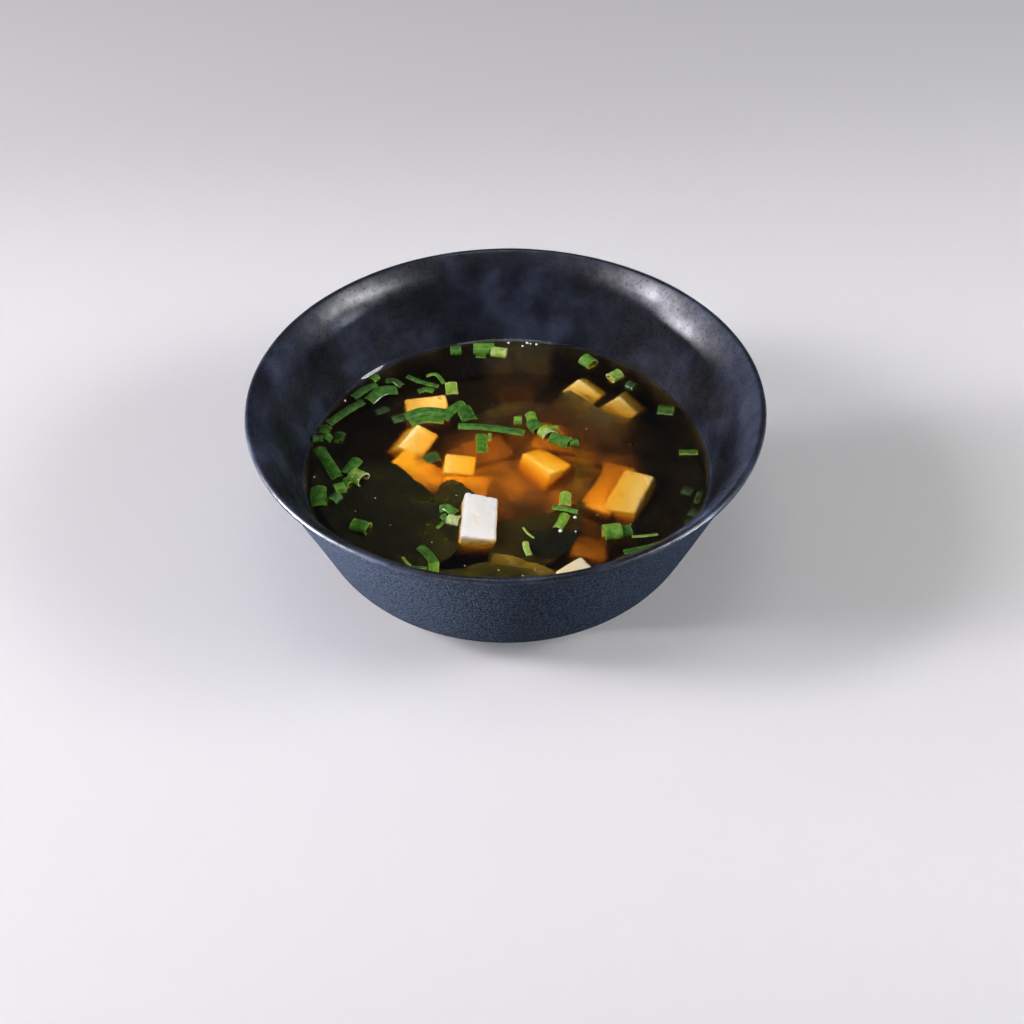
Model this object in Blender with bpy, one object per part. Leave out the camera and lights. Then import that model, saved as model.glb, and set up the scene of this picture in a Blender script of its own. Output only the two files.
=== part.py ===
"""Miso soup in its bowl: a flared stoneware bowl on a foot ring, broth up to about half its
depth, and the tofu dice that break the surface of the broth.

Metres, +Z up. The origin is on the surface that the bowl stands on, on the bowl's axis.
The front of the bowl is -Y.
"""

import math
import random

import bmesh
import bpy
from mathutils import Euler, Vector

MM = 0.001

# Bowl, in mm. Every wall is a straight line in profile, and its corners are rounded.
LIP_RADIUS = 1.15         # round bead along the edge
LIP_REACH = 75.0          # outermost radius of the bead
BOWL_HEIGHT = 57.0
FLARE_ANGLE = 46.0        # slope of the flare inside the lip, from level
INNER_LEAN = 21.5         # inner wall, from upright
OUTER_LEAN = 22.8         # outer wall, from upright
THROAT_RADIUS = 60.25     # inner wall at the level of the broth
UNDERCUT_RADIUS = 72.3    # outer wall just below the lip
UNDERCUT_HEIGHT = 52.0
FLOOR_HEIGHT = 7.5
KNUCKLE_HEIGHT = 9.4      # where the outer wall turns in under the bowl
FOOT_TOP_RADIUS = 42.4
FOOT_TOP_HEIGHT = 5.2
FOOT_OUTER = 41.0
FOOT_INNER = 37.0
RECESS_RADIUS = 35.8
RECESS_HEIGHT = 3.5
TURNS = 64                # facets round the bowl

# Contents, in mm.
BROTH_LEVEL = 30.85
GAP = 0.3                 # kept between touching pieces
TOFU_BEVEL = 0.6
TOFU_WOBBLE = 0.45        # how far a knife cut strays at each corner

# Each die: centre of its top face, its size along its own X, Y and down, and how it is turned
# about Z, then tipped about its own X and Y, in degrees.
TOFU = {
    "tofu_front_left": ((-7.5, -25.2, 33.5), (10.4, 17.4, 12.0), (-2.5, 3.0, 12.0)),
    "tofu_back_left": ((-24.6, 28.0, 32.0), (13.2, 9.0, 10.0), (9.0, 0.0, 0.0)),
    "tofu_back_right": ((34.8, 27.2, 26.6), (9.0, 9.6, 9.0), (22.0, 30.0, -43.0)),
    "tofu_far_right": ((23.6, 35.4, 27.2), (7.6, 10.0, 8.0), (32.0, 24.0, -43.0)),
    "tofu_front_right": ((18.6, -47.0, 32.9), (9.6, 6.4, 9.0), (35.0, 0.0, 0.0)),
    "tofu_left": ((-26.2, 12.6, 29.3), (8.2, 11.7, 9.0), (-27.0, 0.0, 34.0)),
    "tofu_mid_left": ((-13.9, 1.6, 30.1), (9.0, 8.5, 8.0), (-5.0, 0.0, 14.0)),
    "tofu_right": ((35.9, -11.9, 30.5), (10.0, 17.8, 11.0), (-24.0, 1.0, -10.0)),
    "tofu_middle": ((12.0, 3.8, 29.0), (9.0, 13.2, 11.0), (40.0, -7.0, 24.0)),
}


def material(name, colour, roughness):
    made = bpy.data.materials.new(name)
    made.use_nodes = True
    shader = made.node_tree.nodes["Principled BSDF"]
    shader.inputs["Base Color"].default_value = (*colour, 1.0)
    shader.inputs["Roughness"].default_value = roughness
    shader.inputs["Metallic"].default_value = 0.0
    return made


def new_object(name, mesh, finish):
    made = bpy.data.objects.new(name, mesh)
    bpy.context.scene.collection.objects.link(made)
    made.data.materials.append(finish)
    return made


def inner_wall_radius(height):
    return THROAT_RADIUS + (height - BROTH_LEVEL) * math.tan(math.radians(INNER_LEAN))


def outer_wall_radius(height):
    return UNDERCUT_RADIUS + (height - UNDERCUT_HEIGHT) * math.tan(math.radians(OUTER_LEAN))


def rounded(corners):
    """Turn (radius, height, rounding, steps) corners into a profile with curved corners."""
    points = []
    for index, (radius, height, rounding, steps) in enumerate(corners):
        corner = Vector((radius, height))
        if not rounding:
            points.append(corner)
            continue
        before = Vector(corners[index - 1][:2])
        after = Vector(corners[index + 1][:2])
        start = corner + (before - corner).normalized() * rounding
        end = corner + (after - corner).normalized() * rounding
        for step in range(steps + 1):
            t = step / steps
            points.append(start * (1 - t) ** 2 + corner * 2 * t * (1 - t) + end * t ** 2)
    return points


def lip_bead():
    """Points round the bead, from its tangent with the flare, over the top, to its underside."""
    centre = Vector((LIP_REACH - LIP_RADIUS, BOWL_HEIGHT - LIP_RADIUS))
    first = 90.0 + FLARE_ANGLE
    last = -75.0
    steps = 8
    points = []
    for step in range(steps + 1):
        angle = math.radians(first + (last - first) * step / steps)
        points.append(centre + LIP_RADIUS * Vector((math.cos(angle), math.sin(angle))))
    return points


def flare_corner(bead_start):
    """Where the flare's line, down from the bead, meets the inner wall's line."""
    flare_rise = math.tan(math.radians(FLARE_ANGLE))
    wall_run = math.tan(math.radians(INNER_LEAN))
    height_at_axis = bead_start.y - bead_start.x * flare_rise
    radius_at_zero = inner_wall_radius(0.0)
    height = (height_at_axis + radius_at_zero * flare_rise) / (1 - wall_run * flare_rise)
    return radius_at_zero + height * wall_run, height


def turned_mesh(name, profile):
    """Turn a profile that starts at the axis, runs out, down its outer side and back."""
    mesh = bpy.data.meshes.new(name)
    verts = [(point.x * MM, 0.0, point.y * MM) for point in profile]
    edges = [(index, index + 1) for index in range(len(verts) - 1)]
    mesh.from_pydata(verts, edges, [])
    return mesh


def add_screw(body):
    screw = body.modifiers.new("Turned", "SCREW")
    screw.steps = TURNS
    screw.render_steps = TURNS
    screw.use_merge_vertices = True
    screw.merge_threshold = 0.00001
    screw.use_smooth_shade = True


def build_bowl():
    bead = lip_bead()
    inside = rounded([
        (0.0, FLOOR_HEIGHT, 0.0, 0),
        (inner_wall_radius(FLOOR_HEIGHT), FLOOR_HEIGHT, 14.0, 6),
        (*flare_corner(bead[0]), 4.5, 4),
        (*bead[0], 0.0, 0),
    ])
    outside = rounded([
        (*bead[-1], 0.0, 0),
        (UNDERCUT_RADIUS, UNDERCUT_HEIGHT, 1.4, 3),
        (outer_wall_radius(KNUCKLE_HEIGHT), KNUCKLE_HEIGHT, 7.5, 5),
        (FOOT_TOP_RADIUS, FOOT_TOP_HEIGHT, 0.8, 2),
        (FOOT_OUTER, 0.0, 0.7, 2),
        (FOOT_INNER, 0.0, 0.7, 2),
        (RECESS_RADIUS, RECESS_HEIGHT, 0.8, 2),
        (0.0, RECESS_HEIGHT, 0.0, 0),
    ])
    profile = inside[:-1] + bead + outside[1:]
    stoneware = material("dark satin stoneware", (0.02, 0.024, 0.035), 0.45)
    bowl = new_object("bowl", turned_mesh("bowl", profile), stoneware)
    add_screw(bowl)


def block_corners(size, grow, wobble):
    """The eight corners of a block that hangs below its top face's centre, nudged by wobble."""
    width, depth, height = size
    corners = []
    for index, nudge in enumerate(wobble):
        side_x = 1 if index & 1 else -1
        side_y = 1 if index & 2 else -1
        side_z = 1 if index & 4 else -1
        corner = Vector((
            side_x * (width / 2 + grow),
            side_y * (depth / 2 + grow),
            side_z * (height / 2 + grow) - height / 2,
        ))
        corners.append((corner + nudge) * MM)
    return corners


def block_mesh(name, corners):
    shape = bmesh.new()
    for corner in corners:
        shape.verts.new(corner)
    bmesh.ops.convex_hull(shape, input=shape.verts)
    bmesh.ops.dissolve_limit(shape, angle_limit=math.radians(12), verts=shape.verts, edges=shape.edges)
    bmesh.ops.recalc_face_normals(shape, faces=shape.faces)
    mesh = bpy.data.meshes.new(name)
    shape.to_mesh(mesh)
    shape.free()
    return mesh


def place(body, centre, turn):
    about_z, about_x, about_y = (math.radians(angle) for angle in turn)
    body.location = Vector(centre) * MM
    body.rotation_euler = Euler((about_x, about_y, about_z), "YXZ")


def build_tofu():
    """Make each die, and return a cutter for each that is larger by the gap all round."""
    bean_curd = material("tofu", (0.88, 0.78, 0.58), 0.5)
    chance = random.Random(7)
    cutters = []
    for name, (centre, size, turn) in TOFU.items():
        wobble = [Vector([chance.uniform(-TOFU_WOBBLE, TOFU_WOBBLE) for _ in "xyz"]) for _ in range(8)]
        die = new_object(name, block_mesh(name, block_corners(size, 0.0, wobble)), bean_curd)
        place(die, centre, turn)
        bevel = die.modifiers.new("Soft edges", "BEVEL")
        bevel.width = TOFU_BEVEL * MM
        bevel.segments = 2
        cutter_name = "cutter_" + name
        cutter = new_object(cutter_name, block_mesh(cutter_name, block_corners(size, GAP, wobble)), bean_curd)
        place(cutter, centre, turn)
        cutter.hide_render = True
        cutter.display_type = "WIRE"
        cutters.append(cutter)
    return cutters


def build_broth(cutters):
    """The broth fills the bowl up to its level, and is cut round each die."""
    floor = FLOOR_HEIGHT + GAP
    side_gap = GAP / math.cos(math.radians(INNER_LEAN))
    profile = rounded([
        (0.0, BROTH_LEVEL, 0.0, 0),
        (inner_wall_radius(BROTH_LEVEL) - side_gap, BROTH_LEVEL, 0.0, 0),
        (inner_wall_radius(floor) - side_gap, floor, 14.0, 6),
        (0.0, floor, 0.0, 0),
    ])
    liquid = material("miso broth", (0.16, 0.07, 0.015), 0.08)
    broth = new_object("broth", turned_mesh("broth", profile), liquid)
    add_screw(broth)
    for cutter in cutters:
        cut = broth.modifiers.new("Round " + cutter.name, "BOOLEAN")
        cut.operation = "DIFFERENCE"
        cut.solver = "EXACT"
        cut.object = cutter


def main():
    for old in list(bpy.data.objects):
        bpy.data.objects.remove(old, do_unlink=True)
    build_bowl()
    build_broth(build_tofu())


main()
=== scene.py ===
import math

import bpy
from mathutils import Euler, Matrix, Vector, noise
from mathutils.bvhtree import BVHTree


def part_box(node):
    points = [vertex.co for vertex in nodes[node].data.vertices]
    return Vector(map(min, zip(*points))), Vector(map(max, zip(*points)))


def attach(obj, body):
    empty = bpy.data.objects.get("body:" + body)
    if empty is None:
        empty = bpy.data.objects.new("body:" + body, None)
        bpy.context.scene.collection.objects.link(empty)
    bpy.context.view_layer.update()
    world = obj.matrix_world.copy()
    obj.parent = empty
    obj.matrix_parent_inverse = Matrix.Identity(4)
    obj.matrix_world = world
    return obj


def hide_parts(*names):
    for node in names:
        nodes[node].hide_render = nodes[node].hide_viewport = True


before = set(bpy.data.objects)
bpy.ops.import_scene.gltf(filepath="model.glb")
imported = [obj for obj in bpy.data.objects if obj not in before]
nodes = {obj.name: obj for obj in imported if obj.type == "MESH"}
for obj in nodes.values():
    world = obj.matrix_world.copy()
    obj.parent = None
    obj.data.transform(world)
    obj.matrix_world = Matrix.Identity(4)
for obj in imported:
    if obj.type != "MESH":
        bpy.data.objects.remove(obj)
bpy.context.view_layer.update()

mm = 0.001
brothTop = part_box("broth")[1].z     # level of the liquid
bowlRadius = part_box("bowl")[1].x    # outermost reach of the lip


# small helpers

def linearColour(hexText):
    parts = [int(hexText[i:i + 2], 16) / 255 for i in (1, 3, 5)]
    return [part / 12.92 if part <= 0.04045 else ((part + 0.055) / 1.055) ** 2.4 for part in parts]


def deselectAll():
    if bpy.context.object and bpy.context.object.mode != "OBJECT":
        bpy.ops.object.mode_set(mode="OBJECT")
    bpy.ops.object.select_all(action="DESELECT")


def pick(obj):
    deselectAll()
    obj.select_set(True)
    bpy.context.view_layer.objects.active = obj
    return obj


def addModifier(obj, kind, **settings):
    modifier = obj.modifiers.new(kind.title(), kind)
    for key, value in settings.items():
        setattr(modifier, key, value)
    return modifier


def applyAll(obj):
    pick(obj)
    for modifier in list(obj.modifiers):
        bpy.ops.object.modifier_apply(modifier=modifier.name)
    bpy.ops.object.transform_apply(location=True, rotation=True, scale=True)


def smoothAll(obj, angle=40):
    pick(obj)
    bpy.ops.object.shade_smooth_by_angle(angle=math.radians(angle))


def joinAll(name, parts):
    deselectAll()
    for part in parts:
        part.select_set(True)
    bpy.context.view_layer.objects.active = parts[0]
    if len(parts) > 1:
        bpy.ops.object.join()
    joined = bpy.context.view_layer.objects.active
    joined.name = name
    joined.data.name = name
    return joined


def copyOf(obj, name):
    twin = obj.copy()
    twin.data = obj.data.copy()
    twin.name = name
    bpy.context.collection.objects.link(twin)
    return twin


def onWholeMesh(obj, *steps):
    # edit mode with everything selected, one step after the other
    pick(obj)
    bpy.ops.object.mode_set(mode="EDIT")
    bpy.ops.mesh.select_all(action="SELECT")
    for step in steps:
        step()
    bpy.ops.object.mode_set(mode="OBJECT")


def mergeDoubles():
    bpy.ops.mesh.remove_doubles(threshold=0.01 * mm)


def faceOutwards():
    bpy.ops.mesh.normals_make_consistent(inside=False)


def pointValues(obj, name, values):
    made = obj.data.attributes.get(name) or obj.data.attributes.new(name, "FLOAT", "POINT")
    made.data.foreach_set("value", values)


def finishPiece(obj, material, slotName, *replaced):
    obj.data.materials.clear()
    obj.data.materials.append(material)
    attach(obj, "root")
    if replaced:
        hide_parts(*replaced)


def wobble(point, size, seed=0.0):
    return noise.noise(Vector(point) / size + Vector((seed, seed * 1.7, -seed)))


def smoothStep(low, high, value):
    t = min(1.0, max(0.0, (value - low) / (high - low)))
    return t * t * (3 - 2 * t)


# materials

def newMaterial(name):
    made = bpy.data.materials.new(name)
    made.use_nodes = True
    tree = made.node_tree
    return made, tree, tree.nodes["Principled BSDF"]


def addNode(tree, kind, values=None, links=None, **settings):
    node = tree.nodes.new("ShaderNode" + kind)
    for key, value in settings.items():
        setattr(node, key, value)
    for key, value in (values or {}).items():
        node.inputs[key].default_value = value
    for key, source in (links or {}).items():
        tree.links.new(source, node.inputs[key])
    return node


def setSockets(shader, **values):
    for key, value in values.items():
        shader.inputs[key.replace("_", " ")].default_value = value


def rampNode(tree, source, stops):
    # colours are hex, or already linear
    ramp = addNode(tree, "ValToRGB", links={"Fac": source})
    elements = ramp.color_ramp.elements
    while len(elements) > 1:
        elements.remove(elements[-1])
    for index, (place, colour) in enumerate(stops):
        element = elements[0] if index == 0 else elements.new(place)
        element.position = place
        element.color = (*(linearColour(colour) if isinstance(colour, str) else colour), 1.0)
    return ramp


def paintedDepthShade(tree, colour, depthShadeScale=None):
    # painted shade and tint: what lies under the liquid is painted yellow, amber and then dark brown as it
    # gets deeper, for the light the liquid takes on the way down and back; the optional scale stretches that
    # depth round a spot
    place = addNode(tree, "TexCoord")
    height = addNode(tree, "SeparateXYZ", links={0: place.outputs["Object"]})
    under = addNode(tree, "Math", operation="SUBTRACT", links={1: height.outputs["Z"]},
                    values={0: brothTop})
    if depthShadeScale:
        under = addNode(tree, "Math", operation="MULTIPLY", links={0: under.outputs[0], 1: depthShadeScale})
    depth = addNode(tree, "MapRange", links={"Value": under.outputs[0]},
                    values={"From Min": -1 * mm, "From Max": 15 * mm})
    ramp = rampNode(tree, depth.outputs["Result"], [
        ((1 + deep) / 16, colourAtDepth) for deep, colourAtDepth in (
            (-0.5, (1.0, 1.0, 1.0)), (0.0, (0.98, 0.86, 0.56)), (0.35, (0.87, 0.68, 0.24)),
            (0.9, (0.82, 0.57, 0.09)), (2.0, (0.92, 0.53, 0.026)), (3.2, (0.84, 0.41, 0.013)),
            (4.6, (0.62, 0.25, 0.008)), (6.5, (0.30, 0.115, 0.005)), (10.0, (0.11, 0.045, 0.004)),
            (14.5, (0.035, 0.018, 0.003)),
        )
    ])
    mixed = addNode(tree, "Mix", data_type="RGBA", blend_type="MULTIPLY",
                    values={0: 1.0}, links={6: colour, 7: ramp.outputs["Color"]})
    return mixed.outputs[2]


def stonewareFinish():
    # reduction-fired stoneware: a satin iron glaze inside and over the lip, dry sandy slip outside
    made, tree, shader = newMaterial("satinIronGlazeStoneware")
    place = addNode(tree, "TexCoord").outputs["Object"]
    outside = addNode(tree, "Attribute", attribute_name="outside").outputs["Fac"]
    cloudy = addNode(tree, "TexNoise", links={"Vector": place},
                     values={"Scale": 1 / (14 * mm), "Detail": 4.0})
    glaze = rampNode(tree, cloudy.outputs["Fac"], [
        (0.38, "#11131A"), (0.55, "#1D212C"), (0.75, "#363C4D")])
    grit = addNode(tree, "TexVoronoi", links={"Vector": place}, values={"Scale": 1 / (0.75 * mm)})
    slip = rampNode(tree, grit.outputs["Distance"], [
        (0.05, "#4C535F"), (0.3, "#2E343E"), (0.8, "#1F242C")])
    colour = addNode(tree, "Mix", data_type="RGBA",
                     links={0: outside, 6: paintedDepthShade(tree, glaze.outputs["Color"]), 7: slip.outputs["Color"]})
    tree.links.new(colour.outputs[2], shader.inputs["Base Color"])
    fine = addNode(tree, "TexNoise", links={"Vector": place},
                   values={"Scale": 1 / (0.9 * mm), "Detail": 3.0, "Roughness": 0.6})
    worn = addNode(tree, "TexNoise", links={"Vector": place},
                   values={"Scale": 1 / (5 * mm), "Detail": 6.0, "Roughness": 0.7})
    glassy = addNode(tree, "MapRange", links={"Value": worn.outputs["Fac"]},
                     values={"From Min": 0.38, "From Max": 0.62, "To Min": 1.0, "To Max": 0.55})
    pits = addNode(tree, "MapRange", links={"Value": fine.outputs["Fac"]},
                   values={"From Min": 0.56, "From Max": 0.66, "To Min": 1.0, "To Max": 0.35})
    pitted = addNode(tree, "Math", operation="MULTIPLY",
                     links={0: glassy.outputs["Result"], 1: pits.outputs["Result"]})
    glazed = addNode(tree, "Mix", links={0: outside, 2: pitted.outputs[0]}, values={3: 0.0})
    tree.links.new(glazed.outputs[0], shader.inputs["Coat Weight"])
    relief = addNode(tree, "Mix",
                     links={0: outside, 2: fine.outputs["Fac"], 3: grit.outputs["Distance"]})
    strength = addNode(tree, "MapRange", links={"Value": outside},
                       values={"To Min": 0.10, "To Max": 0.7})
    bump = addNode(tree, "Bump", values={"Distance": 0.25 * mm},
                   links={"Height": relief.outputs[0], "Strength": strength.outputs["Result"]})
    tree.links.new(bump.outputs["Normal"], shader.inputs["Normal"])
    tree.links.new(bump.outputs["Normal"], shader.inputs["Coat Normal"])
    setSockets(shader, Roughness=0.6, Specular_IOR_Level=0.0, Coat_Roughness=0.30, Coat_IOR=1.6)
    return made


# camera, floor and lights

view = {
    "target": Vector((1.45, 0, 11.5)) * mm,
    "distance": 550 * mm,
    "elevation": 43.07,
    "roll": -0.72,
    "lens": 63.3,
}


def addCamera():
    angle = math.radians(view["elevation"])
    back = Vector((0, -math.cos(angle), math.sin(angle)))
    bpy.ops.object.camera_add(location=view["target"] + back * view["distance"])
    camera = bpy.context.object
    camera.data.lens = view["lens"]
    camera.data.sensor_width = 36
    turn = Matrix.Rotation(math.pi / 2 - angle, 4, "X") @ Matrix.Rotation(math.radians(view["roll"]), 4, "Z")
    camera.rotation_euler = turn.to_euler()
    bpy.context.scene.camera = camera


lamps = {                # spread is how far a lamp's grid lets its light fan out, in degrees
    "leftSoftbox": {"place": (-0.79, -0.20, 0.61), "size": (0.20, 0.30), "power": 8.0, "tone": "#FAF6FF"},
    "rightSoftbox": {"place": (0.78, -0.20, 0.58), "size": (0.42, 0.22), "power": 6.0, "tone": "#FAFAFF"},
    "sideSoftbox": {"place": (-0.94, 0.08, 0.42), "size": (0.50, 0.24), "power": 2.6, "tone": "#F2EEFF"},
    "lowLeftPanel": {"place": (-0.95, -0.06, 0.075), "size": (0.40, 0.10), "power": 1.2,
                     "spread": 12, "aim": (0, 0, 0.062), "tone": "#F4F4FF"},
    "lowRightPanel": {"place": (0.95, -0.22, 0.075), "size": (0.30, 0.10), "power": 0.15,
                      "spread": 12, "aim": (0, 0, 0.062), "tone": "#E4ECFF"},
    "topFill": {"place": (0.0, -0.12, 1.10), "size": (0.45, 0.45), "power": 1.6, "tone": "#FFFFFF"},
}


def addLamps():
    for name, lamp in lamps.items():
        place = Vector(lamp["place"])
        aim = Vector(lamp.get("aim", (0, 0, 0.025)))
        bpy.ops.object.light_add(type="AREA", location=place)
        light = bpy.context.object
        light.name = name
        light.rotation_euler = (aim - place).to_track_quat("-Z", "Y").to_euler()
        light.data.shape = "RECTANGLE"
        light.data.size, light.data.size_y = lamp["size"]
        light.data.energy = lamp["power"]
        light.data.spread = math.radians(lamp.get("spread", 180))
        light.data.color = linearColour(lamp["tone"])
    world = bpy.data.worlds.new("studioAir")
    world.use_nodes = True
    world.node_tree.nodes["Background"].inputs["Color"].default_value = (*linearColour("#C8CCD4"), 1)
    world.node_tree.nodes["Background"].inputs["Strength"].default_value = 0.12
    bpy.context.scene.world = world
    bpy.context.scene.view_settings.view_transform = "Standard"


def addFloor():
    bpy.ops.mesh.primitive_plane_add(size=6)
    floor = bpy.context.object
    floor.name = "floor"
    made, tree, shader = newMaterial("matteWhitePaper")
    setSockets(shader, Base_Color=(*linearColour("#D2D1CE"), 1), Roughness=0.8)
    floor.data.materials.append(made)


# the bowl

bowlShape = {
    "lipRadius": 1.15,         # mm, as are the rest
    "flareAngle": 46.0,        # slope inside the lip, in degrees from level
    "innerLean": 21.5,         # walls, in degrees from upright
    "outerLean": 22.8,
    "throatRadius": 60.25,     # inside, at the level of the liquid
    "undercut": (72.3, 52.0),  # outside, just below the lip: radius and height
    "floorHeight": 7.5,
    "knuckleHeight": 9.4,
    "footTop": (42.4, 5.2),
    "footOuter": 41.0,
    "footInner": 37.0,
    "recess": (35.8, 3.5),
    "height": 57.0,
    "slipTop": 56.5,           # where the glaze over the lip meets the slip
    "flareRounding": 3.8,
    "turns": 224,
    "unevenness": 0.16,        # how far the wheel-thrown wall strays
    "fineUnevenness": 0.04,
}


def innerWall(height):
    run = math.tan(math.radians(bowlShape["innerLean"]))
    return bowlShape["throatRadius"] + (height - brothTop / mm) * run


def outerWall(height):
    radius, top = bowlShape["undercut"]
    return radius + (height - top) * math.tan(math.radians(bowlShape["outerLean"]))


def roundedPath(corners, spacing=1.6):
    # corners are (radius, height, rounding); straight runs get points every spacing mm
    points = []
    for index, (radius, height, rounding) in enumerate(corners):
        corner = Vector((radius, height))
        if rounding:
            before = Vector(corners[index - 1][:2])
            after = Vector(corners[index + 1][:2])
            start = corner + (before - corner).normalized() * rounding
            end = corner + (after - corner).normalized() * rounding
            steps = max(5, round(rounding * 1.2))
            shares = [step / steps for step in range(steps + 1)]
            bend = [start * (1 - t) ** 2 + corner * 2 * t * (1 - t) + end * t ** 2 for t in shares]
        else:
            bend = [corner]
        if points:
            gap = bend[0] - points[-1]
            count = int(gap.length // spacing)
            last = points[-1]
            points += [last + gap * (step / (count + 1)) for step in range(1, count + 1)]
        points += bend
    return points


def beadPath():
    lip = bowlShape["lipRadius"]
    centre = Vector((bowlRadius / mm - lip, bowlShape["height"] - lip))
    first, last, steps = 90 + bowlShape["flareAngle"], -75, 16
    angles = [math.radians(first + (last - first) * step / steps) for step in range(steps + 1)]
    return [centre + lip * Vector((math.cos(angle), math.sin(angle))) for angle in angles]


def flareCorner(bead):
    rise = math.tan(math.radians(bowlShape["flareAngle"]))
    run = math.tan(math.radians(bowlShape["innerLean"]))
    height = (bead.y - bead.x * rise + innerWall(0) * rise) / (1 - run * rise)
    return innerWall(height), height


def turnOnWheel(name, profile, turns):
    # a ring of edges is laid along the profile, opened at the axis and turned round it
    deselectAll()
    bpy.ops.mesh.primitive_circle_add(vertices=len(profile), fill_type="NOTHING")
    obj = bpy.context.object
    obj.name = name
    for vertex, point in zip(obj.data.vertices, profile):
        vertex.co = (point.x * mm, 0, point.y * mm)
    bpy.ops.object.mode_set(mode="EDIT")
    bpy.ops.mesh.select_all(action="DESELECT")
    bpy.ops.object.mode_set(mode="OBJECT")
    for edge in obj.data.edges:
        edge.select = set(edge.vertices) == {0, len(profile) - 1}
    bpy.ops.object.mode_set(mode="EDIT")
    bpy.ops.mesh.select_mode(type="EDGE")
    bpy.ops.mesh.delete(type="EDGE")
    bpy.ops.object.mode_set(mode="OBJECT")
    addModifier(obj, "SCREW", steps=turns, render_steps=turns, use_merge_vertices=True,
                merge_threshold=0.01 * mm)
    applyAll(obj)
    onWholeMesh(obj, faceOutwards)
    return obj


def makeBowl():
    bead = beadPath()
    inside = roundedPath([
        (0.0, bowlShape["floorHeight"], 0),
        (innerWall(bowlShape["floorHeight"]), bowlShape["floorHeight"], 14.0),
        (*flareCorner(bead[0]), bowlShape["flareRounding"]),
        (*bead[0], 0),
    ])
    outside = roundedPath([
        (*bead[-1], 0),
        (*bowlShape["undercut"], 2.4),
        (outerWall(bowlShape["knuckleHeight"]), bowlShape["knuckleHeight"], 7.5),
        (*bowlShape["footTop"], 0.8),
        (bowlShape["footOuter"], 0.0, 0.7),
        (bowlShape["footInner"], 0.0, 0.7),
        (*bowlShape["recess"], 0.8),
        (0.0, bowlShape["recess"][1], 0),
    ])
    bowl = turnOnWheel("thrownBowl", inside[:-1] + bead + outside[1:], bowlShape["turns"])
    ringCount = len(inside) - 1 + len(bead) + len(outside) - 1
    flareRise = math.tan(math.radians(bowlShape["flareAngle"]))
    bottom = bowlShape["floorHeight"] - 0.5
    outsideShare = []
    for vertex in bowl.data.vertices:
        spot = vertex.co
        radius = math.hypot(spot.x, spot.y)
        if radius > 30 * mm and spot.z > 1 * mm:
            stray = wobble((spot.x, spot.y, spot.z * 2), 32 * mm, 3.0) * bowlShape["unevenness"] * mm
            stray += wobble((spot.x, spot.y, spot.z * 3), 9 * mm, 8.0) * bowlShape["fineUnevenness"] * mm
            reach = min(radius + stray, bowlRadius)
            vertex.co = Vector((spot.x * reach / radius, spot.y * reach / radius, spot.z))
        middle = (innerWall(spot.z / mm) + outerWall(spot.z / mm)) / 2
        flare = bead[0].y + (radius / mm - bead[0].x) * flareRise
        isOuter = (radius / mm > middle and spot.z / mm < flare - 0.7) or spot.z / mm < bottom
        below = bowlShape["slipTop"] + wobble(spot, 6 * mm, 5.0) * 0.8 * 0.4 - spot.z / mm
        outsideShare.append(smoothStep(0, 0.9, below) if isOuter else 0.0)
    pointValues(bowl, "outside", outsideShare)
    smoothAll(bowl, 60)
    finishPiece(bowl, stonewareFinish(), "dark_stoneware", "bowl")
    print("bowl turned,", ringCount, "rings")


# tofu

tofuLook = {
    "voxel": 0.42,       # mm, as are the rest
    "poreSpacing": 1.5,
    "poreDepth": 0.16,
    "unevenness": 0.10,
    "sunkRounding": 1.3,
    "sunkSoaked": 0.25,
    "sink": {            # how far a die sits under the film of liquid on its top
        "tofu_left": 0.5, "tofu_mid_left": 0.55, "tofu_middle": 0.5, "tofu_right": 0.45,
        "tofu_back_left": 1.3, "tofu_far_right": 0.4, "tofu_back_right": 0.4,
    },
    "soaked": {          # how far the liquid has coloured it
        "tofu_front_right": 0.22, "tofu_back_left": 0.50, "tofu_left": 0.14, "tofu_mid_left": 0.30,
        "tofu_middle": 0.30, "tofu_right": 0.30, "tofu_far_right": 0.10, "tofu_back_right": 0.05,
    },
    "paintedShade": {           # painted shade: how much darker each die is made, for the light that is left round it
        "tofu_right": 0.76, "tofu_far_right": 0.72, "tofu_back_right": 0.62, "tofu_back_left": 0.86,
        "tofu_mid_left": 0.95, "tofu_front_left": 0.95,
    },
    "depthShadeScale": {            # how strongly the painted depth shade acts round it
        "tofu_far_right": 0.3, "tofu_back_right": 0.4, "tofu_middle": 0.8, "tofu_right": 0.9,
        "tofu_left": 0.7,
    },
}

sunkTofu = {             # centre of the top (x, y, depth), size, turns about z, x and y, and how strongly the painted depth shade acts round it
    "underLeft": ((-25.2, -0.4, 3.3), (20.5, 10.5, 8.0), (-36, 0, 8), 1.0),
    "underMiddle": ((-12.2, -6.0, 3.7), (14.0, 10.5, 8.0), (-12, 0, 6), 1.1),
    "besideRight": ((29.8, -7.4, 3.6), (11.5, 23.0, 8.0), (-24, -5, -4), 1.35),
    "frontRight": ((23.6, -32.0, 5.4), (11.5, 9.5, 8.0), (-4, -4, 12), 1.0),
    "behindMiddle": ((-6.0, 12.0, 6.6), (14.0, 12.0, 7.0), (20, 0, 0), 1.0),
    "behindRight": ((15.8, 16.0, 5.4), (15.0, 12.0, 7.0), (-12, 0, 6), 1.05),
    "farBack": ((3.0, 41.0, 11.0), (11.0, 10.0, 7.0), (15, 0, 0), 0.9),
}


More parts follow.
